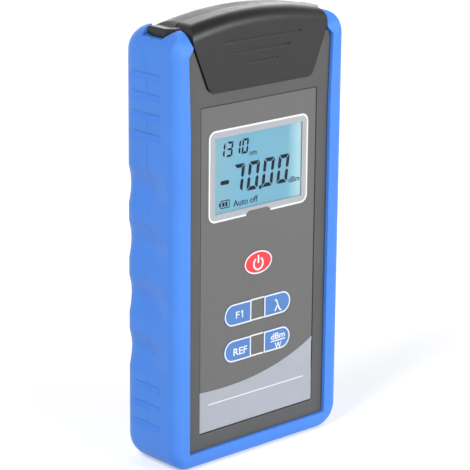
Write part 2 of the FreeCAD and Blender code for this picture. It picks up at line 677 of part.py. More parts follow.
def notch():
    """The gap in each ear for the cover's hinge arm, shut or swung back by three eighths of a turn."""
    top = CROWN_TOP + PAST
    floor = HINGE_Z - HINGE_BARREL_R - NOTCH_GAP
    front = FACE_Y + ARM_FRONT + 2 * HINGE_BARREL_R - NOTCH_GAP
    reach = HINGE_BARREL_R + NOTCH_GAP
    back = HINGE_Y + reach
    knee = HINGE_Z - reach * (math.sqrt(2) - 1)
    points = [(front, floor), (back, floor), (back, knee), (back + top - knee, top),
              (front - top + floor, top)]
    return side_plate(points, [0.5, 0.5, 0, 0, 0], CROWN_HALF_W - 3.0, WIDTH)


def boot():
    crown_slot = block(-SLOT_HALF_W, SLOT_HALF_W, CORE_FRONT_Y, BOOT_BACK_Y + 1,
                       SHOULDER_Z, CROWN_TOP + PAST)
    body = boot_outside().cut(front_opening().fuse(crown_slot))
    back_top = block(-SLOT_HALF_W, SLOT_HALF_W, SEAM_Y, BOOT_BACK_Y + 1, BACK_BAND_TOP, CROWN_TOP)
    back_open = slab(BACK_OPEN_HALF_W, BACK_LIP_BOTTOM, BACK_OPEN_Z1, BACK_OPEN_R + FIT_GAP,
                     CORE_BACK_Y - 1, BOOT_BACK_Y + 1)
    cutters = [case_core(FIT_GAP), back_top, back_open, crown_rear(FIT_GAP)] + both_sides(notch())
    body = cut_all(body, cutters)
    for side in both_sides(dent_cutter()):
        body = body.cut(side)
    for z in groove_heights():
        for side in both_sides(groove_cutter(z)):
            body = body.cut(side)
    return body


# ---------------------------------------------------------------- flip-up port cover
def hinge_arm():
    """The right arm: from the cover's cheek outwards and back to the hinge pin."""
    low = HINGE_Z - HINGE_BARREL_R
    top = HINGE_Z + HINGE_BARREL_R
    front = FACE_Y + ARM_FRONT
    back = HINGE_Y + HINGE_BARREL_R
    points = [(front, top), (front + top - low, low), (back, low), (back, top)]
    round_r = HINGE_BARREL_R * 0.999
    radii = [0.5, 0, round_r, round_r]
    arm = side_plate(points, radii, ARM_X0, ARM_X1)
    bevel = [(ARM_X0, front), (ARM_X0, front - 1), (ARM_X1 + 1, front - 1), (ARM_X1 + 1, front + ARM_BEVEL),
             (ARM_X1, front + ARM_BEVEL)]
    corner = rounded_wire(bevel, [0] * len(bevel), lambda p: V(p.x, p.y, 0))
    arm = arm.cut(Part.Face(corner).extrude(V(0, 0, CROWN_TOP)))
    root = side_plate(points, radii, COVER_HALF_W - CHEEK_T, ARM_X0 + 0.5)
    root = root.common(block(0, WIDTH, -DEPTH, SEAM_Y - SEAM_GAP - NOTCH_GAP, 0, CROWN_TOP))
    bore = rod_x(HINGE_PIN_R + HINGE_RUN_GAP, HINGE_Y, HINGE_Z, ARM_X0 - 1, ARM_X1 - PIN_COVER)
    return join_all([arm, root]).cut(bore)


def port_cover():
    rear_y = SEAM_Y - SEAM_GAP
    bevel = COVER_T - 0.3
    inner_y = COVER_FRONT_Y + COVER_T
    skirt = 14.0
    points = [(COVER_FRONT_Y, skirt), (COVER_FRONT_Y, 0), (rear_y, 0), (rear_y, COVER_T - bevel),
              (rear_y - bevel, COVER_T), (inner_y, COVER_T), (inner_y, skirt)]
    inner_r = COVER_EDGE_R - COVER_T
    shell = arched(arch_profile(points, [0, COVER_EDGE_R, 0, 0, 0, inner_r, 0]), COVER_HALF_W)
    outline, corners = cover_outline()
    flap = plate(outline[:2] + outline[-2:], corners[:1] + [0, 0] + corners[-1:],
                 COVER_FRONT_Y, inner_y)
    cheek_low = SHOULDER_Z + NOTCH_GAP
    cheek_rear = rear_y - NOTCH_GAP
    solid_points = [(COVER_FRONT_Y, CROWN_TOP - cheek_low), (COVER_FRONT_Y, 0), (cheek_rear, 0),
                    (cheek_rear, CROWN_TOP - cheek_low)]
    filled = arched(arch_profile(solid_points, [0, COVER_EDGE_R, 0, 0]), COVER_HALF_W)
    cheeks = [filled.common(block(s * COVER_HALF_W - (CHEEK_T if s > 0 else 0),
                                  s * COVER_HALF_W + (CHEEK_T if s < 0 else 0),
                                  COVER_FRONT_Y, SEAM_Y, cheek_low, CROWN_TOP)) for s in (-1, 1)]
    body = join_all([shell, flap] + cheeks)
    body = body.common(plate(outline, corners, COVER_FRONT_Y - 1, SEAM_Y + 1))
    body = join_all([body] + both_sides(hinge_arm()))
    return cut_all(body, grip_lines())


def grip_lines():
    """Three grooves across the flap, each longer than the one below: sharp above, run out below."""
    lines = []
    for i in range(GRIP_LINES):
        z = COVER_Z0 + GRIP_LINE_LOW + GRIP_LINE_PITCH * i
        half = GRIP_LINE_HALF + GRIP_LINE_GROW * i
        top = z + GRIP_LINE_H / 2
        points = [(COVER_FRONT_Y - 1, top), (COVER_FRONT_Y + GRIP_LINE_DEEP, top),
                  (COVER_FRONT_Y, z - GRIP_LINE_H / 2), (COVER_FRONT_Y - 1, z - GRIP_LINE_H / 2)]
        lines.append(side_plate(points, [0, 0, 0, 0], -half, half))
    return lines


def hinge_pins():
    """A pin at each side: pressed into the rear shell, with its free end in the arm's blind bore."""
    end = ARM_X1 - PIN_COVER - HINGE_RUN_GAP
    return both_sides(rod_x(HINGE_PIN_R, HINGE_Y, HINGE_Z, CROWN_HALF_W - PIN_BITE, end))


# ---------------------------------------------------------------- face, display and keys
def overlay():
    sheet = slab(OVERLAY_HALF_W, OVERLAY_Z0, OVERLAY_Z1, OVERLAY_R, OVERLAY_Y, OVERLAY_Y + OVERLAY_T)
    cutters = [slab(WINDOW_HALF_W, WINDOW_Z0, WINDOW_Z1, WINDOW_R, OVERLAY_Y - 1, OVERLAY_Y + 1)]
    for name, x, z, outline in key_outlines():
        cutters.append(outline(x, z, KEY_GAP, OVERLAY_Y - 1, OVERLAY_Y + 1))
    return cut_all(sheet, cutters)


def display_window():
    return slab(WINDOW_HALF_W - WINDOW_GAP, WINDOW_Z0 + WINDOW_GAP, WINDOW_Z1 - WINDOW_GAP, WINDOW_R,
                OVERLAY_Y, OVERLAY_Y + OVERLAY_T)


def display_slab(edge, y0, y1, corner=1.0):
    return slab(WINDOW_HALF_W + edge, WINDOW_Z0 - edge, WINDOW_Z1 + edge, corner, y0, y1)


def lcd_glass():
    return display_slab(GLASS_EDGE, GLASS_Y, GLASS_Y + GLASS_T)


def lcd_backlight():
    back = GLASS_Y + GLASS_T
    return display_slab(GLASS_EDGE - 0.5, back, DISPLAY_BACK_Y)


def lcd_holder():
    frame = display_slab(GLASS_EDGE + HOLDER_WALL, HOLDER_Y, PCB_Y)
    inside = display_slab(GLASS_EDGE + 0.1, HOLDER_Y - 1, DISPLAY_BACK_Y)
    wires = display_slab(GLASS_EDGE - HOLDER_WALL, HOLDER_Y, PCB_Y + 1)
    return cut_all(frame, [inside, wires])


def key(outline, x, z):
    """A key cap with a retaining flange behind the front wall and a stem to its switch."""
    cap = outline(x, z, 0.0, OVERLAY_Y - KEY_PROUD, FLANGE_Y + 0.2)
    flange = outline(x, z, FLANGE_OUT, FLANGE_Y, FLANGE_Y + FLANGE_T)
    stem = rod_y(STEM_R, x, z, FLANGE_Y, STEM_END_Y)
    return join_all([cap, flange, stem])


def plunger(x, z):
    return rod_y(PLUNGER_R, x, z, STEM_END_Y, STEM_END_Y + PLUNGER_LONG)


def tact_switches():
    bases = []
    for name, x, z, outline in key_outlines():
        half = SWITCH_SIDE / 2
        base = block(x - half, x + half, PCB_Y - SWITCH_H, PCB_Y, z - half, z + half)
        top = PCB_Y - SWITCH_H
        hole = rod_y(PLUNGER_R + PLUNGER_GAP, x, z, top - 1, top + SWITCH_HOLE_DEEP)
        bases.append(base.cut(hole))
    return bases


def main_pcb():
    board = slab(PCB_HALF_W, PCB_Z0, PCB_Z1, 1.5, PCB_Y, PCB_Y + PCB_T)
    holes = [rod_y(PCB_SCREW_R + 0.2, x, z, PCB_Y - 1, PCB_Y + PCB_T + 1) for x, z in pcb_posts()]
    return cut_all(board, holes)


def pcb_chips():
    back = PCB_Y + PCB_T
    half = CHIP_SIDE / 2
    z = PCB_Z1 - CHIP_BELOW
    return [block(x - half, x + half, back, back + CHIP_T, z - half, z + half)
            for x in (-CHIP_PITCH / 2, CHIP_PITCH / 2)]


def screw(radius, head_r, head_t, x, z, head_y, tip_y):
    """A pan-head screw, driven from the back towards the front."""
    shaft = rod_y(radius, x, z, tip_y, head_y + 0.1)
    head = rod_y(head_r, x, z, head_y, head_y + head_t)
    head = head.makeFillet(head_t * 0.35, edges_at(head, lambda p: abs(p.y - head_y - head_t) < 1e-4))
    recess = join_all([block(x - 0.25 * radius, x + 0.25 * radius, head_y + head_t * 0.5,
                             head_y + head_t + 1, z - radius * 0.9, z + radius * 0.9),
                       block(x - radius * 0.9, x + radius * 0.9, head_y + head_t * 0.5,
                             head_y + head_t + 1, z - 0.25 * radius, z + 0.25 * radius)])
    return join_all([shaft, head]).cut(recess)


def pcb_screws():
    return [screw(PCB_SCREW_R, PCB_SCREW_HEAD_R, PCB_SCREW_HEAD_T, x, z,
                  PCB_Y + PCB_T, PCB_Y - PCB_SCREW_BITE) for x, z in pcb_posts()]


def case_screws():
    head_y = CORE_BACK_Y - SCREW_SINK
    return [screw(SCREW_R, SCREW_HEAD_R, SCREW_HEAD_T, x, z, head_y, SEAM_Y - SCREW_BITE)
            for x, z in screw_places()]


# ---------------------------------------------------------------- optical port
def port_flange():
    plate_top = WELL_FLOOR_Z + PORT_FLANGE_T
    ring = rod(FLANGE_R, 0, PORT_Y, WELL_FLOOR_Z, plate_top)
    return ring.cut(rod(DIODE_R + 0.15, 0, PORT_Y, WELL_FLOOR_Z - 1, plate_top + 1))


def fibre_adapter():
    """The outer barrel of the ferrule receptacle, with the keyway of the plug."""
    low = WELL_FLOOR_Z + PORT_FLANGE_T
    tube = rod(BARREL_R, 0, PORT_Y, low, low + BARREL_LONG)
    rim = edges_at(tube, lambda p: abs(p.z - low - BARREL_LONG) < 1e-4)
    tube = tube.makeChamfer(0.4, rim)
    bore = rod(BARREL_BORE_R, 0, PORT_Y, low + 1.5, low + BARREL_LONG + 1)
    throat = rod(FERRULE_R, 0, PORT_Y, low - 1, low + 2)
    keyway = block(-KEYWAY_W / 2, KEYWAY_W / 2, PORT_Y - BARREL_R - 1, PORT_Y - SLEEVE_R - 0.2,
                   low + BARREL_LONG - 4.0, low + BARREL_LONG + 1)
    return cut_all(tube, [bore, throat, keyway])


def ferrule_sleeve():
    low = WELL_FLOOR_Z + PORT_FLANGE_T + 1.5
    tube = rod(SLEEVE_R, 0, PORT_Y, low, low + SLEEVE_LONG - 1.5)
    return tube.cut(rod(FERRULE_R, 0, PORT_Y, low - 1, low + SLEEVE_LONG))


def detector_housing():
    top = ROOM_TOP
    cup = rod(HOUSING_R, 0, PORT_Y, top - HOUSING_LONG, top)
    return cup.cut(rod(DIODE_FLANGE_R + 0.05, 0, PORT_Y, top - HOUSING_LONG - 1, top + 1))


def photodiode():
    """A windowed metal can on its flange, with three leads down to the board."""
    base = ROOM_TOP - DIODE_FLANGE_T
    flange = rod(DIODE_FLANGE_R, 0, PORT_Y, base, base + DIODE_FLANGE_T)
    can = rod(DIODE_R, 0, PORT_Y, base, base + DIODE_FLANGE_T + DIODE_LONG)
    leads = [rod(LEAD_R, 1.2 * math.cos(a), PORT_Y + 1.2 * math.sin(a), base - LEAD_LONG, base + 0.1)
             for a in (0, math.pi / 2, math.pi)]
    return join_all([flange, can] + leads)


# ---------------------------------------------------------------- batteries and their door
def cell_x(i):
    return CELL_PITCH * (i - (CELLS - 1) / 2)


def battery(i):
    """A round cell; every other one stands on its head."""
    low = BAY_Z0 + PLATE_T
    up = i % 2 == 0
    body_low = low + SPRING_ROOM if up else low + CELL_NUB
    body = rod(CELL_R, cell_x(i), CELL_Y, body_low, body_low + CELL_BODY)
    body = body.makeFillet(0.8, edges_at(body, lambda p: abs(p.z - body_low) < 1e-4
                                         or abs(p.z - body_low - CELL_BODY) < 1e-4))
    nub_low = body_low + CELL_BODY - 0.1 if up else low
    nub = rod(CELL_NUB_R, cell_x(i), CELL_Y, nub_low, nub_low + CELL_NUB + 0.1)
    return join_all([body, nub])


def contact_springs():
    """A bent leaf at the flat end of each cell."""
    leaves = []
    for i in range(CELLS):
        up = i % 2 == 0
        foot = BAY_Z0 if up else BAY_Z1
        sign = 1 if up else -1
        x0 = cell_x(i) - LEAF_W / 2
        back = BAY_FLOOR_Y + 2.0
        front = CELL_Y + LEAF_HIGH
        rise = SPRING_ROOM + PLATE_T
        points = [(back, foot), (front + 1.5, foot), (front + 1.5, foot + sign * PLATE_T),
                  (back + 1.2, foot + sign * PLATE_T), (front, foot + sign * (rise - PLATE_T)),
                  (front, foot + sign * rise), (front - 2.4, foot + sign * rise),
                  (back, foot + sign * PLATE_T * 1.8)]
        leaves.append(side_plate(points, [0] * len(points), x0, x0 + LEAF_W))
    return leaves


def contact_plates():
    """A flat plate at the nub end of each cell."""
    plates = []
    for i in range(CELLS):
        low = BAY_Z1 - PLATE_T if i % 2 == 0 else BAY_Z0
        plates.append(block(cell_x(i) - PLATE_HALF_W, cell_x(i) + PLATE_HALF_W,
                            CELL_Y - PLATE_HALF_D, CELL_Y + PLATE_HALF_D, low, low + PLATE_T))
    return plates


def battery_door():
    """A flat door that swings on two stub pins at its lower edge."""
    points = [(DOOR_INNER_Y, DOOR_Z0), (BACK_Y, DOOR_Z0), (BACK_Y, DOOR_Z1), (DOOR_INNER_Y, DOOR_Z1)]
    round_r = DOOR_T / 2 * 0.99
    door = side_plate(points, [round_r, round_r, 0, 0], -DOOR_HALF_W, DOOR_HALF_W)
    reach = DOOR_HALF_W + DOOR_PIN_LONG
    pins = rod_x(DOOR_PIN_R, DOOR_AXIS_Y, DOOR_AXIS_Z, -reach, reach)
    door = join_all([door, pins])
    ridges = []
    for i in range(DOOR_RIDGES):
        z = DOOR_Z1 - 6.0 - RIDGE_PITCH * i
        half = 10.0 - 1.4 * i
        ridges.append(block(-half, half, BACK_Y - RIDGE_DEEP, BACK_Y + 1, z - RIDGE_H / 2, z + RIDGE_H / 2))
    return cut_all(door, ridges + [thumb_recess()])


# ---------------------------------------------------------------- export
def save(name, shape):
    """Write one node; a list of separate solids is kept as a group."""
    if isinstance(shape, list):
        shape = Part.makeCompound(shape)
    shape.exportStep("parts/%s.step" % name)
    good = shape.isValid() and all(s.isClosed() for s in shape.Solids)
    print("%-18s solids %2d  volume %9.1f  %s" % (name, len(shape.Solids), shape.Volume,
                                                  "ok" if good else "NOT VALID"))


def main():
    os.makedirs("parts", exist_ok=True)
    save("boot", boot())
    save("front_shell", front_shell())
    save("rear_shell", rear_shell())
    save("port_cover", port_cover())
    save("cover_hinge_pins", hinge_pins())
    save("overlay", overlay())
    save("display_window", display_window())
    save("lcd_glass", lcd_glass())
    save("lcd_backlight", lcd_backlight())
    save("lcd_holder", lcd_holder())
    for name, x, z, outline in key_outlines():
        save("key_" + name, key(outline, x, z))
        save("plunger_" + name, plunger(x, z))
    save("tact_switches", tact_switches())
    save("main_pcb", main_pcb())
    save("pcb_chips", pcb_chips())
    save("pcb_screws", pcb_screws())
    save("case_screws", case_screws())
    save("port_flange", port_flange())
    save("fibre_adapter", fibre_adapter())
    save("ferrule_sleeve", ferrule_sleeve())
    save("detector_housing", detector_housing())
    save("photodiode", photodiode())
    for i in range(CELLS):
        save("battery_%d" % (i + 1), battery(i))
    save("contact_springs", contact_springs())
    save("contact_plates", contact_plates())
    save("battery_door", battery_door())


main()
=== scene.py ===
import json
import math

import bmesh
import bpy
from mathutils import Matrix, Vector


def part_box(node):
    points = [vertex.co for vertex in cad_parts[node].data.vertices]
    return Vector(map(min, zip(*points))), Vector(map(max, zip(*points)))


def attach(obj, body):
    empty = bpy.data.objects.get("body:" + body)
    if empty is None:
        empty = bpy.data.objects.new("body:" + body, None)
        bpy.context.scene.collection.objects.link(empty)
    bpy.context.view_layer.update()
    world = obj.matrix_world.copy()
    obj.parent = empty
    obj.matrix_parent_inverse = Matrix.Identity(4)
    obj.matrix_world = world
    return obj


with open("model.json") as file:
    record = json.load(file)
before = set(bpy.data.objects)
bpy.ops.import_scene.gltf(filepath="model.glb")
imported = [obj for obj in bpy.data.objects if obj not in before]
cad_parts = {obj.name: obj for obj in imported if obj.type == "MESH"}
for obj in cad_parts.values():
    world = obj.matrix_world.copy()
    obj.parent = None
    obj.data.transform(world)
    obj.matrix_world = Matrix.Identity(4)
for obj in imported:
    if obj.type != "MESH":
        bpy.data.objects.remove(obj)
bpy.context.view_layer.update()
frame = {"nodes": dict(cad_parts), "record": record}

MM = 0.001
NODES = frame["nodes"]


# ---------------------------------------------------------------- places, read from the frame
def span(node):
    """(x0, x1, y0, y1, z0, z1) of a CAD node, in millimetres."""
    low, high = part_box(node)
    return [v / MM for pair in zip(low, high) for v in pair]


BOOT = span("boot")
OVERLAY = span("overlay")
WINDOW = span("display_window")
GLASS = span("lcd_glass")
COVER = span("port_cover")
ADAPTER = span("fibre_adapter")
FACE_Y = span("front_shell")[2]      # front of the case
PANEL_Y = OVERLAY[2]                 # front of the graphic panel
INK_Y = GLASS[2]                     # front of the display's glass
PRINT_T = 0.03                       # thickness of each printed layer
BOLD = 0.07                          # how much bold lettering is thickened, each way

# the graphic panel
LINE_W = 0.65                        # white outlines of the keys
FRAME_LINE_W = 0.8                   # white outline of the display
FRAME_W = 3.4                        # display frame beyond the window
FRAME_R = 3.5                        # its outer corners
NOTCH_X = (-7.0, 6.6)                # gap in the lower side of the display frame
NOTCH_SLANT = 1.6                    # slope of the gap's two ends
NOTCH_H = 1.9
FIELD_LEFT = 18.1                    # pale field's height over the panel's lower edge, at the left
FIELD_RIGHT = 29.0                   # and at the right
FIELD_BEND = (6.0, 15.2)             # what its curved edge bends towards
RULE_HALF = 27.1                     # thin white rule across the pale field
RULE_UP = 11.7
RULE_H = 0.45
PAINTED_SHADE_W = 0.3                        # width of the painted shade round the graphic panel and in the flap's slot

# the cover's flap
FLAP_HALF_W = 36.7                   # at full width
FLAP_TAPER = 8.6                     # narrower at its lower edge, each side
FLAP_FULL = 20.3                     # height over which it widens
SLOT_GAP = 0.5                       # slot round the flap
SLOT_PAINTED_EDGE = 0.7                      # width of the painted shade on the panel along the slot, below and at the right
SLOT_CORNER = 2.3                    # where the slot's corner starts to turn
SLOT_SHADE = 0.7                     # how deep the painted shade on the slot's wall reaches
SLOT_REACH = 19.0                    # how far the slot's painted shade runs up each side
GRIP_LINES = 3
GRIP_HALF = 8.85                     # half the lowest grip line
GRIP_GROW = 6.15                     # each next one is this much longer, each side
GRIP_UP = 10.33                      # upper edge of the lowest, over the flap's lower edge
GRIP_PITCH = 4.75
GRIP_SHADE_H = 0.42                  # height of the painted shadow under that edge
GRIP_END_W = 0.35                    # and down the line's left-hand end
GRIP_END_H = 1.1
GRIP_BACK = 0.6                      # back of the painted shadow, behind the flap's front
GRIP_SHADE_T = 0.45

# the boot's parting line
PARTING_DEPTH = 17.0                 # from the boot's front
PARTING_W = 0.45
PARTING_H = 0.16

# the port's thread
THREAD_PITCH = 0.75
THREAD_R = 0.2
THREAD_END = 0.8                     # plain barrel at each end
THREAD_STEPS = 24                    # points in each turn


# ---------------------------------------------------------------- node materials
def srgb(red, green, blue):
    """A colour given as 0 to 255, as Blender's linear colour."""
    linear = []
    for part in (red, green, blue):
        c = part / 255
        linear.append(c / 12.92 if c <= 0.04045 else ((c + 0.055) / 1.055) ** 2.4)
    return (*linear, 1.0)


def scaled(colour, factor):
    return (colour[0] * factor, colour[1] * factor, colour[2] * factor, 1.0)


class Finish:
    """A procedural material round one Principled shader."""

    def __init__(self, name, colour, roughness, **sockets):
        self.material = bpy.data.materials.new(name)
        self.material.use_nodes = True
        self.tree = self.material.node_tree
        self.shader = self.tree.nodes["Principled BSDF"]
        self.colour = colour
        self.shader.inputs["Base Color"].default_value = colour
        self.shader.inputs["Roughness"].default_value = roughness
        for socket, value in sockets.items():
            self.shader.inputs[socket.replace("_", " ")].default_value = value
        self.normal = None

    def add(self, kind, **settings):
        made = self.tree.nodes.new(kind)
        for key, value in settings.items():
            setattr(made, key, value)
        return made

    def link(self, source, target):
        self.tree.links.new(source, target)

    def place(self, stretch=(1, 1, 1)):
        """The point on the surface, in metres in the row frame."""
        where = self.add("ShaderNodeTexCoord").outputs["Object"]
        if stretch == (1, 1, 1):
            return where
        mapping = self.add("ShaderNodeMapping")
        mapping.inputs["Scale"].default_value = stretch
        self.link(where, mapping.inputs["Vector"])
        return mapping.outputs["Vector"]

    def noise(self, size, detail=3.0, rough=0.5, stretch=(1, 1, 1)):
        """Noise with features about `size` millimetres across."""
        made = self.add("ShaderNodeTexNoise")
        made.inputs["Scale"].default_value = 1 / (size * MM)
        made.inputs["Detail"].default_value = detail
        made.inputs["Roughness"].default_value = rough
        self.link(self.place(stretch), made.inputs["Vector"])
        return made.outputs["Fac"]

    def ramp(self, source, stops):
        made = self.add("ShaderNodeValToRGB")
        band = made.color_ramp
        while len(band.elements) < len(stops):
            band.elements.new(0.5)
        for element, (place, colour) in zip(band.elements, stops):
            element.position = place
            element.color = colour if len(colour) == 4 else (*colour, 1.0)
        self.link(source, made.inputs["Fac"])
        return made.outputs["Color"]

    def grey(self, source, low, high, start=0.3, stop=0.7):
        return self.ramp(source, [(start, (low,) * 3), (stop, (high,) * 3)])

    def mottle(self, size, amount):
        """The colour wanders a little, lighter and darker."""
        stops = [(0.3, scaled(self.colour, 1 - amount)), (0.7, scaled(self.colour, 1 + amount))]
        self.link(self.ramp(self.noise(size), stops), self.shader.inputs["Base Color"])
        return self

    def uneven(self, size, low, high):
        """The gloss wanders between two roughnesses."""
        self.link(self.grey(self.noise(size, 4.0), low, high), self.shader.inputs["Roughness"])
        return self

    def soft_edges(self, radius):
        """Edges catch the light as if rounded by `radius` millimetres."""
        made = self.add("ShaderNodeBevel", samples=6)
        made.inputs["Radius"].default_value = radius * MM
        self.normal = made.outputs["Normal"]
        self.link(self.normal, self.shader.inputs["Normal"])
        return self

    def bump(self, height, depth, strength=1.0):
        """A relief `depth` millimetres deep from a 0 to 1 height."""
        made = self.add("ShaderNodeBump")
        made.inputs["Distance"].default_value = depth * MM
        made.inputs["Strength"].default_value = strength
        self.link(height, made.inputs["Height"])
        if self.normal is not None:
            self.link(self.normal, made.inputs["Normal"])
        self.normal = made.outputs["Normal"]
        self.link(self.normal, self.shader.inputs["Normal"])
        return self

    def grain(self, size, depth, strength=1.0):
        return self.bump(self.noise(size, 4.0, 0.6), depth, strength)


def make_materials():
    """Every finish of the object, by name."""
    made = {}
    rubber = Finish("boot_rubber", srgb(76, 140, 236), 0.48, Specular_IOR_Level=0.30,
                    Sheen_Weight=0.04, Sheen_Roughness=0.4)
    rubber.mottle(26.0, 0.035).uneven(7.0, 0.42, 0.54).soft_edges(0.55).grain(0.35, 0.010, 0.5)
    rubber.bump(parting_ridge(rubber), PARTING_H)
    made["boot_rubber"] = rubber
    case = Finish("case_plastic", srgb(85, 85, 85), 0.46, Specular_IOR_Level=0.40)
    case.mottle(18.0, 0.04).uneven(6.0, 0.42, 0.54).soft_edges(0.25).grain(0.22, 0.012, 0.6)
    made["case_plastic"] = case
    cover = Finish("cover_plastic", srgb(30, 30, 30), 0.36, Specular_IOR_Level=0.42)
    cover.mottle(22.0, 0.04).uneven(5.0, 0.32, 0.40).soft_edges(0.3).grain(0.22, 0.006, 0.5)
    made["cover_plastic"] = cover
    film = Finish("overlay_film", srgb(106, 106, 106), 0.38, Specular_IOR_Level=0.36)
    film.mottle(30.0, 0.02).uneven(9.0, 0.34, 0.44).grain(0.16, 0.006, 0.5)
    made["overlay_film"] = film
    # the near-black finish in this list is no print: it is painted shade, used only in the slot round the
    # flap, round the graphic panel and along the grip lines
    for name, colour, rough in (("print_white", srgb(240, 240, 240), 0.45),
                                ("print_field", srgb(172, 177, 187), 0.40),
                                ("print_silver", srgb(174, 179, 184), 0.33),
                                ("painted_shade_black", srgb(22, 22, 22), 0.50),
                                ("key_mark", srgb(238, 242, 250), 0.40)):
        ink = Finish(name, colour, rough)
        ink.mottle(12.0, 0.02).uneven(3.0, rough - 0.05, rough + 0.06).grain(0.16, 0.004, 0.4)
        made[name] = ink
    for name, colour in (("key_red", srgb(238, 66, 72)), ("key_blue", srgb(86, 132, 198))):
        key = Finish(name, colour, 0.40, Specular_IOR_Level=0.35)
        key.mottle(6.0, 0.03).uneven(3.0, 0.32, 0.42).soft_edges(0.15).grain(0.2, 0.006, 0.5)
        made[name] = key
    made["lcd"] = lcd_finish()
    ink = Finish("lcd_ink", srgb(2, 16, 38), 0.45, Specular_IOR_Level=0.06)
    ink.mottle(2.0, 0.08).uneven(2.0, 0.3, 0.4)
    made["lcd_ink"] = ink
    made["clear_window"] = window_finish()
    white = Finish("white_plastic", srgb(226, 226, 220), 0.5)
    white.mottle(8.0, 0.02).uneven(3.0, 0.45, 0.55).grain(0.3, 0.01)
    made["white_plastic"] = white
    black = Finish("switch_plastic", srgb(28, 28, 30), 0.5)
    black.mottle(4.0, 0.1).uneven(2.0, 0.42, 0.55).grain(0.2, 0.01)
    made["switch_plastic"] = black
    made["board"] = board_finish()
    steel = Finish("steel", srgb(196, 198, 202), 0.30, Metallic=1.0)
    steel.mottle(5.0, 0.05).uneven(1.5, 0.24, 0.40).bump(steel.noise(0.1, 2.0, 0.5, (1, 8, 1)), 0.004)
    made["steel"] = steel
    nickel = Finish("nickel_brass", srgb(212, 208, 196), 0.24, Metallic=1.0)
    nickel.mottle(3.0, 0.05).uneven(1.0, 0.18, 0.32).bump(nickel.noise(0.08, 2.0, 0.5, (1, 1, 10)), 0.003)
    made["nickel_brass"] = nickel
    ceramic = Finish("ceramic", srgb(238, 236, 230), 0.22, Coat_Weight=0.3, Coat_Roughness=0.1)
    ceramic.mottle(1.5, 0.02).uneven(0.8, 0.18, 0.28)
    made["ceramic"] = ceramic
    gold = Finish("gold_can", srgb(226, 184, 96), 0.26, Metallic=1.0)
    gold.mottle(1.5, 0.05).uneven(0.8, 0.2, 0.34)
    made["gold_can"] = gold
    made["cell_wrap"] = cell_finish()
    return made


def parting_ridge(rubber):
    """The fine ridge all round the boot where the two halves of its mould met, as a 0 to 1 height."""
    split = rubber.add("ShaderNodeSeparateXYZ")
    rubber.link(rubber.place(), split.inputs["Vector"])
    away = rubber.add("ShaderNodeMath", operation="SUBTRACT")
    away.inputs[1].default_value = (BOOT[2] + PARTING_DEPTH) * MM
    rubber.link(split.outputs["Y"], away.inputs[0])
    size = rubber.add("ShaderNodeMath", operation="ABSOLUTE")
    rubber.link(away.outputs[0], size.inputs[0])
    ridge = rubber.add("ShaderNodeMapRange", interpolation_type="SMOOTHSTEP")
    ridge.inputs["From Max"].default_value = PARTING_W / 2 * MM
    ridge.inputs["To Min"].default_value = 1.0
    ridge.inputs["To Max"].default_value = 0.0
    rubber.link(size.outputs[0], ridge.inputs["Value"])
    return ridge.outputs["Result"]


def lcd_finish():
    """A backlit display: pale blue, lighter towards the lamp at its right-hand edge."""
    lcd = Finish("lcd", srgb(120, 186, 212), 0.5)
    split = lcd.add("ShaderNodeSeparateXYZ")
    lcd.link(lcd.place(), split.inputs["Vector"])
    across = lcd.add("ShaderNodeMapRange")
    across.inputs["From Min"].default_value = WINDOW[0] * MM
    across.inputs["From Max"].default_value = WINDOW[1] * MM
    lcd.link(split.outputs["X"], across.inputs["Value"])
    glow = lcd.ramp(across.outputs["Result"], [(0.0, srgb(136, 192, 214)), (0.3, srgb(116, 187, 217)),
                                               (0.84, srgb(118, 186, 212)), (0.96, srgb(176, 226, 240)),
                                               (1.0, srgb(196, 236, 246))])
    dim = lcd.add("ShaderNodeVectorMath", operation="SCALE")
    dim.inputs["Scale"].default_value = 0.5
    lcd.link(glow, dim.inputs[0])
    lcd.link(dim.outputs["Vector"], lcd.shader.inputs["Base Color"])
    lcd.link(glow, lcd.shader.inputs["Emission Color"])
    lcd.shader.inputs["Emission Strength"].default_value = 0.34
    lcd.uneven(4.0, 0.45, 0.55)
    lcd.grain(0.12, 0.003, 0.4)
    return lcd


def window_finish():
    """A clear film, almost wholly see-through."""
    clear = Finish("clear_window", srgb(236, 242, 244), 0.08, Specular_IOR_Level=0.12)
    clear.shader.inputs["Alpha"].default_value = 0.014
    clear.uneven(8.0, 0.05, 0.12)
    return clear


def board_finish():
    """Green solder resist over straight copper tracks."""
    board = Finish("board", srgb(18, 84, 52), 0.38, Coat_Weight=0.4, Coat_Roughness=0.2)
    tracks = board.add("ShaderNodeTexBrick")
    tracks.inputs["Scale"].default_value = 1 / (9 * MM)
    tracks.inputs["Color1"].default_value = srgb(18, 84, 52)
    tracks.inputs["Color2"].default_value = srgb(20, 92, 58)
    tracks.inputs["Mortar"].default_value = srgb(44, 128, 78)
    tracks.inputs["Mortar Size"].default_value = 0.02
    board.link(board.place((1, 0, 1)), tracks.inputs["Vector"])
    board.link(tracks.outputs["Color"], board.shader.inputs["Base Color"])
    board.uneven(3.0, 0.32, 0.44)
    board.bump(tracks.outputs["Fac"], 0.03)
    return board


def cell_finish():
    """A printed cell wrap: dark, with a copper-coloured band round its upper end."""
    cell = Finish("cell_wrap", srgb(40, 42, 46), 0.3)
    split = cell.add("ShaderNodeSeparateXYZ")
    cell.link(cell.place(), split.inputs["Vector"])
    low, high = span("battery_1")[4:6]
    up = cell.add("ShaderNodeMapRange")
    up.inputs["From Min"].default_value = low * MM
    up.inputs["From Max"].default_value = high * MM
    cell.link(split.outputs["Z"], up.inputs["Value"])
    bands = cell.ramp(up.outputs["Result"], [(0.0, srgb(190, 190, 192)), (0.09, srgb(36, 38, 42)),
                                             (0.70, srgb(40, 42, 46)), (0.72, srgb(186, 120, 72)),
                                             (0.93, srgb(190, 124, 74)), (0.96, srgb(200, 200, 202))])
    cell.link(bands, cell.shader.inputs["Base Color"])
    cell.uneven(2.0, 0.24, 0.36)
    return cell


MATERIALS = make_materials()


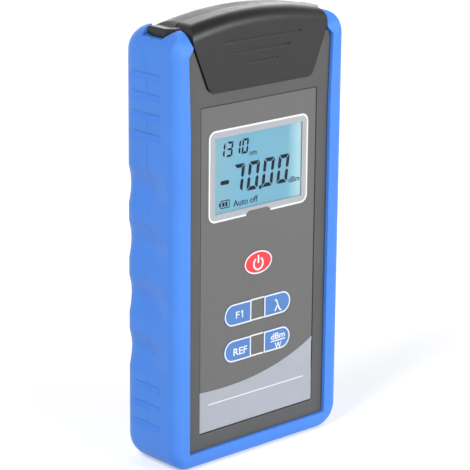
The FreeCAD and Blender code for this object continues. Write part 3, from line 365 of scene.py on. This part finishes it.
def dress(obj, name):
    """Gives a new piece its finish."""
    obj.data.materials.clear()
    obj.data.materials.append(MATERIALS[name].material)


def dress_cad_nodes():
    """Each CAD node takes the finish named by its slot in the record."""
    slots = {part["node"]: part["material_slot"] for part in frame["record"]["subparts"]}
    for name, node in NODES.items():
        finish = MATERIALS[slots[name]].material
        if not node.material_slots:
            node.data.materials.append(finish)
        for holder in node.material_slots:
            holder.material = finish


# ---------------------------------------------------------------- flat outlines, (x, z) in millimetres
def arc(centre_x, centre_z, radius_x, radius_z, start, stop, steps=12):
    """Points along an arc; the angles are in degrees, 0 to the right and 90 up."""
    points = []
    for i in range(steps + 1):
        angle = math.radians(start + (stop - start) * i / steps)
        points.append((centre_x + radius_x * math.cos(angle), centre_z + radius_z * math.sin(angle)))
    return points


def ellipse(centre_x, centre_z, radius_x, radius_z, steps=64):
    return arc(centre_x, centre_z, radius_x, radius_z, 0, 360, steps)[:-1]


def rectangle(x0, x1, z0, z1):
    return [(x0, z0), (x1, z0), (x1, z1), (x0, z1)]


def rounded_rectangle(x0, x1, z0, z1, radius):
    """Anticlockwise from the lower side's right-hand end."""
    return (arc(x1 - radius, z0 + radius, radius, radius, -90, 0)
            + arc(x1 - radius, z1 - radius, radius, radius, 0, 90)
            + arc(x0 + radius, z1 - radius, radius, radius, 90, 180)
            + arc(x0 + radius, z0 + radius, radius, radius, 180, 270))


def ribbon(points, width):
    """The outline of a line of that width along the points, with square ends."""
    left = []
    right = []
    for i, (x, z) in enumerate(points):
        x0, z0 = points[max(i - 1, 0)]
        x1, z1 = points[min(i + 1, len(points) - 1)]
        length = math.hypot(x1 - x0, z1 - z0)
        nx = -(z1 - z0) / length * width / 2
        nz = (x1 - x0) / length * width / 2
        left.append((x + nx, z + nz))
        right.append((x - nx, z - nz))
    return left + right[::-1]


def half_pill(x0, x1, z0, z1, inset):
    """A key outline that is round at its outer end and square at the inner one."""
    outer = x0 if abs(x0) > abs(x1) else x1
    side = 1 if outer > 0 else -1
    inner = (x1 if outer == x0 else x0) + side * inset
    radius = (z1 - z0) / 2
    middle = (z0 + z1) / 2
    cap = arc(outer - side * radius, middle, side * (radius - inset), radius - inset, -90, 90, 24)
    return [(inner, z0 + inset)] + cap + [(inner, z1 - inset)]


# ---------------------------------------------------------------- turning outlines into thin solids
def finish_mesh(mesh):
    """Welds the mesh and turns its faces outwards."""
    work = bmesh.new()
    work.from_mesh(mesh)
    bmesh.ops.remove_doubles(work, verts=work.verts, dist=1e-7)
    bmesh.ops.recalc_face_normals(work, faces=work.faces)
    work.to_mesh(mesh)
    work.free()


def curve_mesh(curve):
    """The closed mesh of a curve, which is then thrown away."""
    holder = bpy.data.objects.new(curve.name + "_outline", curve)
    bpy.context.scene.collection.objects.link(holder)
    bpy.context.view_layer.update()
    graph = bpy.context.evaluated_depsgraph_get()
    mesh = bpy.data.meshes.new_from_object(holder.evaluated_get(graph))
    bpy.data.objects.remove(holder)
    bpy.data.curves.remove(curve)
    return mesh


def new_piece(name, mesh):
    piece = bpy.data.objects.new(name, mesh)
    bpy.context.scene.collection.objects.link(piece)
    return piece


def curve_to_piece(curve, name, y):
    """Stands a flat curve up in the plane of the front, at depth y in millimetres."""
    mesh = curve_mesh(curve)
    stand = Matrix.Translation((0, y * MM, 0)) @ Matrix.Rotation(math.pi / 2, 4, "X")
    mesh.transform(stand @ Matrix.Scale(MM, 4))
    finish_mesh(mesh)
    return new_piece(name, mesh)


def printed(name, loops, body, material, face_y=PANEL_Y, thick=PRINT_T):
    """A thin printed layer on the plane y = face_y; loops inside loops are holes."""
    curve = bpy.data.curves.new(name, "CURVE")
    curve.dimensions = "2D"
    curve.fill_mode = "BOTH"
    curve.extrude = thick / 2
    for loop in loops:
        spline = curve.splines.new("POLY")
        spline.points.add(len(loop) - 1)
        for point, (x, z) in zip(spline.points, loop):
            point.co = (x, z, 0, 1)
        spline.use_cyclic_u = True
    piece = curve_to_piece(curve, name, face_y - thick / 2)
    dress(piece, material)
    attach(piece, body)
    return piece


def lettering(name, text, centre, height, body, material, face_y, width=None, bold=0.0):
    """A word with capitals `height` millimetres high, centred on (x, z), and `width` wide if given."""
    curve = bpy.data.curves.new(name, "FONT")
    curve.body = text
    curve.align_x = "CENTER"
    curve.align_y = "CENTER"
    curve.size = height / 0.72
    curve.extrude = PRINT_T / 2
    curve.offset = bold
    curve.resolution_u = 6
    piece = curve_to_piece(curve, name, face_y - PRINT_T / 2)
    xs = [v.co.x for v in piece.data.vertices]
    zs = [v.co.z for v in piece.data.vertices]
    stretch = 1.0 if width is None else width * MM / (max(xs) - min(xs))
    middle = Vector(((max(xs) + min(xs)) / 2, 0, (max(zs) + min(zs)) / 2))
    for vertex in piece.data.vertices:
        vertex.co.x = (vertex.co.x - middle.x) * stretch + centre[0] * MM
        vertex.co.z += centre[1] * MM - middle.z
    dress(piece, material)
    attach(piece, body)
    return piece


# ---------------------------------------------------------------- printing on the graphic panel
def display_frame():
    """A silver frame round the window inside a white line, both open at the middle of the lower side."""
    x0, x1, _, _, z0, z1 = WINDOW
    left, right = x0 - FRAME_W, x1 + FRAME_W
    low, high = z0 - FRAME_W, z1 + FRAME_W
    half = FRAME_LINE_W / 2
    line = rounded_rectangle(left + half, right - half, low + half, high - half, FRAME_R - half)
    line = [(NOTCH_X[1], low + half)] + line + [(NOTCH_X[0], low + half)]
    printed("display_outline", [ribbon(line, FRAME_LINE_W)], "case", "print_white")
    edge = FRAME_LINE_W
    outer = rounded_rectangle(left + edge, right - edge, low + edge, high - edge, FRAME_R - edge)
    top_of_notch = low + NOTCH_H
    notch = [(NOTCH_X[0], low + edge), (NOTCH_X[0] + NOTCH_SLANT, top_of_notch),
             (NOTCH_X[1] - NOTCH_SLANT, top_of_notch), (NOTCH_X[1], low + edge)]
    inner = rectangle(x0 - 0.02, x1 + 0.02, z0 - 0.02, z1 + 0.02)
    printed("display_frame", [outer + notch, inner], "case", "print_silver")


def pale_field():
    """The pale lower end of the panel, with a curved edge, and a thin white rule across it."""
    x0, x1, _, _, z0, _ = OVERLAY
    start = Vector((x0, z0 + FIELD_LEFT))
    stop = Vector((x1, z0 + FIELD_RIGHT))
    bend = Vector((FIELD_BEND[0], z0 + FIELD_BEND[1]))
    edge = []
    for i in range(33):
        t = i / 32
        edge.append(tuple(start * (1 - t) ** 2 + bend * 2 * t * (1 - t) + stop * t ** 2))
    printed("pale_field", [edge + [(x1, z0), (x0, z0)]], "case", "print_field")
    rule = rectangle(-RULE_HALF, RULE_HALF, z0 + RULE_UP, z0 + RULE_UP + RULE_H)
    printed("field_rule", [rule], "case", "print_white", PANEL_Y - PRINT_T)


def key_bars():
    """White lines that carry the outline on between the two keys of a row."""
    for row, left, right in (("upper", "key_f1", "key_lambda"), ("lower", "key_ref", "key_dbm")):
        _, start, _, z0, z1 = key_face(left)
        reach = key_face(right)[0]
        for end, low in (("low", z0), ("high", z1 - LINE_W)):
            printed(f"{row}_bar_{end}", [rectangle(start, reach, low, low + LINE_W)],
                    "case", "print_white")


def panel_painted_shade():
    """Painted shade: a dark band round the edge of the graphic panel, where its recess lies in shade."""
    x0, x1, _, _, z0, z1 = OVERLAY
    joint = [rectangle(x0, x1, z0, z1), rectangle(x0 + PAINTED_SHADE_W, x1 - PAINTED_SHADE_W, z0 + PAINTED_SHADE_W, z1 - PAINTED_SHADE_W)]
    printed("panel_painted_shade", joint, "case", "painted_shade_black")


def flap_corner(grow):
    """The right-hand half of a line round the flap, `grow` outside it, from the lower side upwards."""
    z0 = COVER[4]
    lean = FLAP_TAPER / FLAP_FULL
    side = Vector((lean, 1)).normalized()
    corner = Vector((FLAP_HALF_W - FLAP_TAPER + grow * (math.hypot(1, lean) - lean), z0 - grow))
    before, after = corner - Vector((SLOT_CORNER, 0)), corner + side * SLOT_CORNER
    line = []
    for i in range(9):
        t = i / 8
        line.append(tuple(before * (1 - t) ** 2 + corner * 2 * t * (1 - t) + after * t ** 2))
    return line + [tuple(corner + side * SLOT_REACH)]


def cover_slot_painted_shade():
    """Painted shade in the slot round the flap: a dark ribbon on its wall, and a dark band on the panel
    along its edge where it opens widest, below and at the right.
    """
    right = flap_corner(SLOT_GAP - PAINTED_SHADE_W / 2)
    path = [(-x, z) for x, z in reversed(right)] + right
    printed("cover_slot_painted_shade", [ribbon(path, PAINTED_SHADE_W)], "case", "painted_shade_black",
            FACE_Y + SLOT_SHADE, SLOT_SHADE)
    right = flap_corner(SLOT_GAP + SLOT_PAINTED_EDGE / 2)
    path = [(-right[0][0], right[0][1])] + right
    printed("cover_slot_painted_edge_shade", [ribbon(path, SLOT_PAINTED_EDGE)], "case", "painted_shade_black", FACE_Y)


def grip_painted_shadows():
    """Painted shadow along the upper edge of each grip line on the flap, and down its left-hand end,
    standing for the shade under the undercut.
    """
    _, _, front, _, low, _ = COVER
    for i in range(GRIP_LINES):
        half = GRIP_HALF + GRIP_GROW * i
        top = low + GRIP_UP + GRIP_PITCH * i
        shade = [(-half, top), (half, top), (half, top - GRIP_SHADE_H),
                 (GRIP_END_W - half, top - GRIP_SHADE_H), (GRIP_END_W - half, top - GRIP_END_H),
                 (-half, top - GRIP_END_H)]
        printed(f"grip_shade_{i + 1}", [shade], "cover", "painted_shade_black",
                front + GRIP_BACK, GRIP_SHADE_T)


# ---------------------------------------------------------------- printing on the keys
def key_face(node):
    """(x0, x1, y, z0, z1) of a key cap's visible front, which its hidden flange is wider than."""
    y = span(node)[2]
    front = [v.co / MM for v in NODES[node].data.vertices if v.co.y / MM < y + 0.05]
    xs = [p.x for p in front]
    zs = [p.z for p in front]
    return min(xs), max(xs), y, min(zs), max(zs)


def key_rim(node, outline):
    """A white line round the edge of the cap."""
    y = key_face(node)[2]
    printed(node + "_rim", [outline(0.04), outline(LINE_W)], node, "key_mark", y)


def power_symbol():
    x0, x1, y, z0, z1 = key_face("key_power")
    middle_x, middle_z = (x0 + x1) / 2, (z0 + z1) / 2
    key_rim("key_power", lambda inset: ellipse(middle_x, middle_z, (x1 - x0) / 2 - inset,
                                               (z1 - z0) / 2 - inset))
    ring = arc(middle_x, middle_z - 0.55, 2.55, 2.55, 122, 418, 40)
    printed("power_ring", [ribbon(ring, 0.85)], "key_power", "key_mark", y)
    stem = rounded_rectangle(middle_x - 0.42, middle_x + 0.42, middle_z - 0.4, middle_z + 3.1, 0.3)
    printed("power_stem", [stem], "key_power", "key_mark", y)


def lambda_symbol(centre_x, centre_z, body, y):
    """The wavelength sign: one long bent stroke and a short one."""
    long = [(-1.8, 2.5), (-1.15, 2.35), (-0.7, 1.6), (0.0, -0.1), (0.9, -2.0), (1.3, -2.4), (1.9, -2.35)]
    short = [(-0.15, 0.35), (-1.8, -2.45)]
    for name, stroke in (("long", long), ("short", short)):
        points = [(centre_x + x, centre_z + z) for x, z in stroke]
        printed("lambda_" + name, [ribbon(points, 0.7)], body, "key_mark", y)


def key_word(name, text, centre, height, body, width, bold=BOLD):
    y = key_face(body)[2]
    lettering(name, text, centre, height, body, "key_mark", y, width=width, bold=bold)


def middle_of(node):
    """The height of a key's middle."""
    z0, z1 = key_face(node)[3:]
    return (z0 + z1) / 2


def f1_mark():
    """The letter and a 1 with a short flag."""
    middle = middle_of("key_f1") - 0.3
    key_word("f_mark", "F", (-11.3, middle), 3.1, "key_f1", 2.1, BOLD / 2)
    one = [(-9.7, middle + 0.75), (-9.45, middle + 0.55), (-8.95, middle + 1.0), (-8.95, middle - 1.65),
           (-8.35, middle - 1.65), (-8.35, middle + 1.65), (-8.85, middle + 1.65)]
    printed("one_mark", [one], "key_f1", "key_mark", key_face("key_f1")[2])


def dbm_mark():
    """One unit over the other, with a bar between them."""
    middle = middle_of("key_dbm") - 0.7
    key_word("dbm_mark", "dBm", (11.7, middle + 2.1), 2.7, "key_dbm", 8.0)
    key_word("watt_mark", "W", (11.9, middle - 2.2), 2.7, "key_dbm", 3.9)
    printed("dbm_bar", [rectangle(7.6, 15.9, middle - 0.25, middle + 0.25)],
            "key_dbm", "key_mark", key_face("key_dbm")[2])


def key_marks():
    power_symbol()
    for node in ("key_f1", "key_lambda", "key_ref", "key_dbm"):
        x0, x1, _, z0, z1 = key_face(node)
        key_rim(node, lambda inset: half_pill(x0, x1, z0, z1, inset))
    f1_mark()
    lambda_symbol(11.6, middle_of("key_lambda") - 0.7, "key_lambda", key_face("key_lambda")[2])
    key_word("ref_mark", "REF", (-9.7, middle_of("key_ref") - 0.6), 3.2, "key_ref", 7.7)
    dbm_mark()


# ---------------------------------------------------------------- what the display shows
SEGMENTS = {"0": "abcdef", "1": "bc", "3": "abcdg", "7": "abc"}
LEAN = 0.125                         # of the figures, to the right
LEVEL_X = -13.3                      # first large figure
LEVEL_PITCH = 8.35
LEVEL_UP = 6.9                       # over the window's lower edge
LEVEL_SIZE = (6.1, 12.1, 1.62)       # width, height and thickness of the bars
WAVE_X = -21.4                       # first small figure
WAVE_PITCH = 4.25
WAVE_UP = 22.9
WAVE_SIZE = (3.5, 6.3, 0.95)


def segment(kind, width, height, thick):
    """One bar of a seven-segment figure, with bevelled ends; (0, 0) is the figure's lower left corner."""
    gap = thick * 0.12
    half = height / 2
    if kind in "ad":
        z_out, z_in = (height, height - thick) if kind == "a" else (0.0, thick)
        return [(gap * 2, z_out), (width - gap * 2, z_out), (width - thick - gap, z_in), (thick + gap, z_in)]
    if kind == "g":
        t = thick / 2
        return [(gap + t * 0.6, half), (thick + gap, half + t), (width - thick - gap, half + t),
                (width - gap - t * 0.6, half), (width - thick - gap, half - t), (thick + gap, half - t)]
    left = kind in "ef"
    x_out, x_in = (0.0, thick) if left else (width, width - thick)
    low = kind in "ce"
    z_end = 0.0 + gap * 2 if low else height - gap * 2
    z_in = thick + gap if low else height - thick - gap
    z_mid = half - gap if low else half + gap
    z_mid_in = half - thick / 2 - gap if low else half + thick / 2 + gap
    return [(x_out, z_end), (x_in, z_in), (x_in, z_mid_in), ((x_out + x_in) / 2, z_mid), (x_out, z_mid_in)]


def figure(char, x, z, width, height, thick):
    """The bars of one figure, leaning to the right."""
    bars = []
    for kind in SEGMENTS[char]:
        bar = segment(kind, width, height, thick)
        bars.append([(x + a + LEAN * (b - height), z + b) for a, b in bar])
    return bars


def display_ink(name, loops):
    return printed(name, loops, "case", "lcd_ink", INK_Y)


def display_word(name, text, centre, height, width):
    lettering(name, text, centre, height, "case", "lcd_ink", INK_Y, width=width, bold=BOLD / 2)


def display_figures():
    """A wavelength in small figures over a level in large ones."""
    low = WINDOW[4]
    large = []
    for i, char in enumerate("7000"):
        large += figure(char, LEVEL_X + LEVEL_PITCH * i, low + LEVEL_UP, *LEVEL_SIZE)
    large.append(rounded_rectangle(-20.7, -16.0, low + 11.6, low + 13.4, 0.8))
    large.append(ellipse(1.35, low + 7.2, 0.85, 0.85, 20))
    display_ink("level_figures", large)
    small = []
    for i, char in enumerate("1310"):
        small += figure(char, WAVE_X + WAVE_PITCH * i, low + WAVE_UP, *WAVE_SIZE)
    display_ink("wavelength_figures", small)
    display_word("level_unit", "dBm", (20.4, low + 7.5), 2.4, 6.2)
    display_word("wavelength_unit", "nm", (-2.9, low + 22.4), 2.4, 3.8)


def battery_sign():
    """A small outline of a cell with two full bars, and the timer's sign beside it."""
    low = WINDOW[4] + 1.7
    outline = [rounded_rectangle(-20.6, -15.6, low, low + 3.4, 0.3),
               rounded_rectangle(-20.2, -16.0, low + 0.4, low + 3.0, 0.2)]
    bars = [rectangle(-19.6 + 1.6 * i, -18.4 + 1.6 * i, low + 0.8, low + 2.6) for i in range(2)]
    knob = rectangle(-21.4, -20.75, low + 0.9, low + 2.5)
    display_ink("battery_sign", outline + bars + [knob])
    display_word("timer_sign", "Auto off", (-6.8, low + 1.1), 2.7, 13.6)


# ---------------------------------------------------------------- the thread of the port
def tube(name, points, radius, body, material):
    """A thin round bead along the points."""
    curve = bpy.data.curves.new(name, "CURVE")
    curve.dimensions = "3D"
    curve.bevel_depth = radius
    curve.bevel_resolution = 2
    curve.use_fill_caps = True
    spline = curve.splines.new("POLY")
    spline.points.add(len(points) - 1)
    for point, place in zip(spline.points, points):
        point.co = (*place, 1)
    mesh = curve_mesh(curve)
    finish_mesh(mesh)
    for face in mesh.polygons:
        face.use_smooth = True
    piece = new_piece(name, mesh)
    dress(piece, material)
    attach(piece, body)


def port_thread():
    """The fine thread outside the fibre adapter's barrel."""
    x0, x1, y0, y1, z0, z1 = ADAPTER
    radius = min(x1 - x0, y1 - y0) / 2
    middle_x, middle_y = (x0 + x1) / 2, (y0 + y1) / 2
    turns = int((z1 - z0 - 2 * THREAD_END) / THREAD_PITCH)
    points = []
    for i in range(turns * THREAD_STEPS + 1):
        angle = 2 * math.pi * i / THREAD_STEPS
        z = z0 + THREAD_END + THREAD_PITCH * i / THREAD_STEPS
        points.append(((middle_x + radius * math.cos(angle)) * MM,
                       (middle_y + radius * math.sin(angle)) * MM, z * MM))
    tube("adapter_thread", points, THREAD_R * MM, "case", "nickel_brass")


# ---------------------------------------------------------------- stage, light and camera, in metres
TARGET = Vector((-13.21, -15.95, 97.0)) * MM
DISTANCE = 889.08 * MM
AZIMUTH = math.radians(-42.36)
ELEVATION = math.radians(16.27)
ROLL = math.radians(0.51)
LENS = 166.68
AMBIENT = 0.48                       # the studio's even light
CEILING = 0.25                       # share of it that comes from straight above
CEILING_FROM, CEILING_TO = 0.25, 0.85  # height of the direction over which it darkens
FLOOR_LIFT = 0.42                    # extra brightness of the floor for seen rays
FLOOR_R = 12.0
LAMP_TARGET = Vector((0, 0, 0.09))
LAMPS = (("key_lamp", (0.7, -1.7, 0.8), (0.9, 0.9), 24.5),      # place, size and watts
         ("fill_lamp", (-1.3, -0.3, 1.5), (0.6, 0.6), 19.5),
         ("back_lamp", (1.45, 1.6, 1.0), (2.6, 1.8), 24.0))


def make_camera():
    look = Vector((-math.sin(AZIMUTH) * math.cos(ELEVATION), math.cos(AZIMUTH) * math.cos(ELEVATION),
                   -math.sin(ELEVATION)))
    right = look.cross(Vector((0, 0, 1))).normalized()
    up = right.cross(look)
    rolled_right = right * math.cos(ROLL) + up * math.sin(ROLL)
    rolled_up = up * math.cos(ROLL) - right * math.sin(ROLL)
    data = bpy.data.cameras.new("camera")
    data.lens = LENS
    data.sensor_width = 36.0
    data.clip_start = 0.05
    data.clip_end = 50.0
    camera = bpy.data.objects.new("camera", data)
    turn = Matrix((rolled_right, rolled_up, -look)).transposed().to_4x4()
    camera.matrix_world = Matrix.Translation(TARGET - look * DISTANCE) @ turn
    bpy.context.scene.collection.objects.link(camera)
    bpy.context.scene.camera = camera


def area_lamp(name, place, size, watts):
    data = bpy.data.lights.new(name, "AREA")
    data.shape = "RECTANGLE"
    data.size, data.size_y = size
    data.energy = watts
    lamp = bpy.data.objects.new(name, data)
    lamp.location = place
    aim = LAMP_TARGET - Vector(place)
    lamp.rotation_mode = "QUATERNION"
    lamp.rotation_quaternion = aim.to_track_quat("-Z", "Y")
    bpy.context.scene.collection.objects.link(lamp)


def seen_directly(tree):
    """1 for rays from the camera, off gloss or through glass."""
    path = tree.nodes.new("ShaderNodeLightPath")
    total = path.outputs["Is Camera Ray"]
    for kind in ("Is Glossy Ray", "Is Transmission Ray"):
        most = tree.nodes.new("ShaderNodeMath")
        most.operation = "MAXIMUM"
        tree.links.new(total, most.inputs[0])
        tree.links.new(path.outputs[kind], most.inputs[1])
        total = most.outputs[0]
    return total


def make_world():
    """White all round at eye level, with a darker ceiling; the camera itself sees plain white."""
    world = bpy.data.worlds.new("studio")
    bpy.context.scene.world = world
    world.use_nodes = True
    tree = world.node_tree
    back = tree.nodes["Background"]
    back.inputs["Color"].default_value = (1, 1, 1, 1)
    direction = tree.nodes.new("ShaderNodeTexCoord").outputs["Generated"]
    split = tree.nodes.new("ShaderNodeSeparateXYZ")
    tree.links.new(direction, split.inputs["Vector"])
    ceiling = tree.nodes.new("ShaderNodeMapRange")
    ceiling.interpolation_type = "SMOOTHSTEP"
    for socket, value in (("From Min", CEILING_FROM), ("From Max", CEILING_TO),
                          ("To Min", 1.0), ("To Max", CEILING)):
        ceiling.inputs[socket].default_value = value
    tree.links.new(split.outputs["Z"], ceiling.inputs["Value"])
    level = tree.nodes.new("ShaderNodeMapRange")
    level.inputs["To Min"].default_value = AMBIENT
    level.inputs["To Max"].default_value = 1.0
    tree.links.new(seen_directly(tree), level.inputs["Value"])
    lit = tree.nodes.new("ShaderNodeMath")
    lit.operation = "MULTIPLY"
    tree.links.new(ceiling.outputs["Result"], lit.inputs[0])
    tree.links.new(level.outputs["Result"], lit.inputs[1])
    strength = tree.nodes.new("ShaderNodeMath")
    strength.operation = "MAXIMUM"
    tree.links.new(lit.outputs[0], strength.inputs[0])
    tree.links.new(tree.nodes.new("ShaderNodeLightPath").outputs["Is Camera Ray"], strength.inputs[1])
    tree.links.new(strength.outputs[0], back.inputs["Strength"])


def make_floor():
    bpy.ops.mesh.primitive_circle_add(vertices=96, radius=FLOOR_R, fill_type="NGON", location=(0, 0, 0))
    floor = bpy.context.object
    floor.name = "floor"
    material = bpy.data.materials.new("floor_pale")
    material.use_nodes = True
    tree = material.node_tree
    shader = tree.nodes["Principled BSDF"]
    shader.inputs["Base Color"].default_value = (0.8, 0.8, 0.8, 1)
    shader.inputs["Roughness"].default_value = 0.9
    shader.inputs["Specular IOR Level"].default_value = 0.0
    shader.inputs["Emission Color"].default_value = (1, 1, 1, 1)
    lift = tree.nodes.new("ShaderNodeMath")
    lift.operation = "MULTIPLY"
    lift.inputs[1].default_value = FLOOR_LIFT
    tree.links.new(seen_directly(tree), lift.inputs[0])
    tree.links.new(lift.outputs[0], shader.inputs["Emission Strength"])
    floor.data.materials.append(material)


def make_studio():
    scene = bpy.context.scene
    scene.view_settings.view_transform = "Standard"
    make_camera()
    make_world()
    make_floor()
    for name, place, size, watts in LAMPS:
        area_lamp(name, place, size, watts)


# ---------------------------------------------------------------- put it together
dress_cad_nodes()
display_frame()
pale_field()
panel_painted_shade()
cover_slot_painted_shade()
grip_painted_shadows()
key_bars()
key_marks()
display_figures()
battery_sign()
port_thread()
make_studio()
